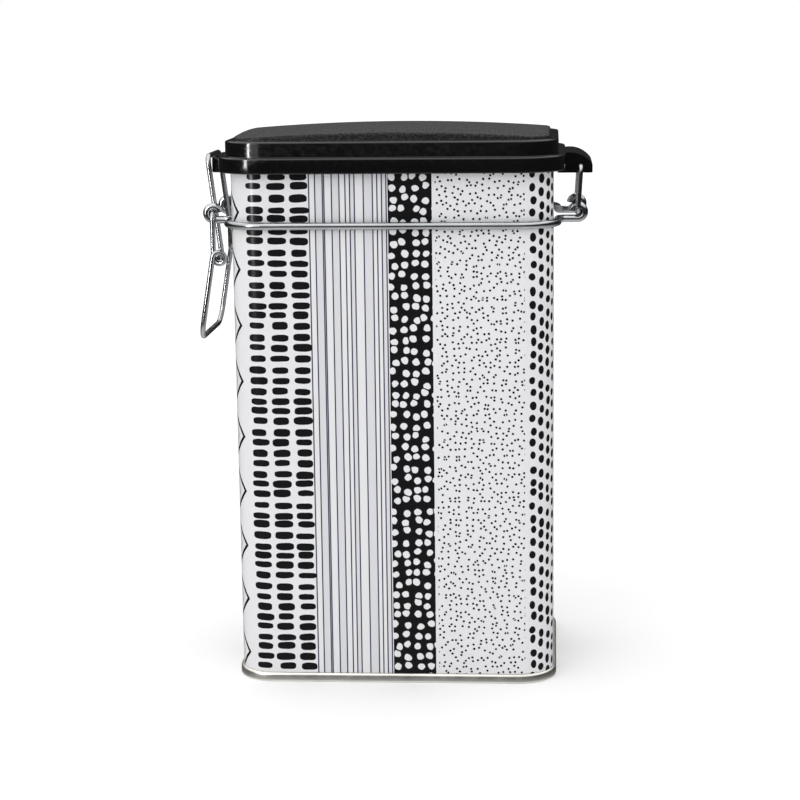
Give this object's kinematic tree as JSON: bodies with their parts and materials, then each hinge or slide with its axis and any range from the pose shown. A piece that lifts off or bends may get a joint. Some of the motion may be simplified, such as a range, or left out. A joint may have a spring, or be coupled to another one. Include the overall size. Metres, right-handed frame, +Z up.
{
  "type": "clip-lid coffee tin",
  "caption": "Rectangular coffee tin with rounded corners, a black hinged lid with a seal, and a wire toggle latch.",
  "frame": {"origin": "middle of the base, on the surface that the tin stands on", "axes": "+Z up; front face towards -Y; latch at -X and hinge at +X"},
  "size_m": [0.1346, 0.084, 0.1884],
  "materials": {
    "printed_tin": "glossy white lacquer printed with bands of black marks",
    "bare_tin": "bright tinplate",
    "lid_plastic": "gloss black moulding with a fine grain on its crown",
    "seal": "translucent pale silicone",
    "wire": "bright zinc-plated steel wire"
  },
  "bodies": {
    "tin": {"body_wall": "printed_tin", "base_end": "bare_tin", "neck_wire_front": "wire", "neck_wire_rear": "wire"},
    "link": {"hinge_link": "wire"},
    "lid": {"lid": "lid_plastic", "lid_gasket": "seal"},
    "lever": {"latch_lever": "wire"},
    "bail": {"latch_bail": "wire"}
  },
  "joints": [
    {"name": "link_swing", "type": "hinge", "parent": "tin", "child": "link", "pos_m": [0.062, 0, 0.15926], "axis": [0, 1, 0], "range_deg": [0, 90]},
    {"name": "lid_hinge", "type": "hinge", "parent": "link", "child": "lid", "pos_m": [0.063, 0, 0.1747], "axis": [0, 1, 0], "range_deg": [0, 110]},
    {"name": "lever_pivot", "type": "hinge", "parent": "tin", "child": "lever", "pos_m": [-0.062, 0, 0.15926], "axis": [0, 1, 0], "range_deg": [0, 115]},
    {"name": "bail_pivot", "type": "hinge", "parent": "lever", "child": "bail", "pos_m": [-0.06, 0, 0.14426], "axis": [0, 1, 0], "range_deg": [-138, 0]}
  ],
  "couplings": [
    {"joint": "bail_pivot", "follows": "lever_pivot", "ratio": -1.2}
  ]
}
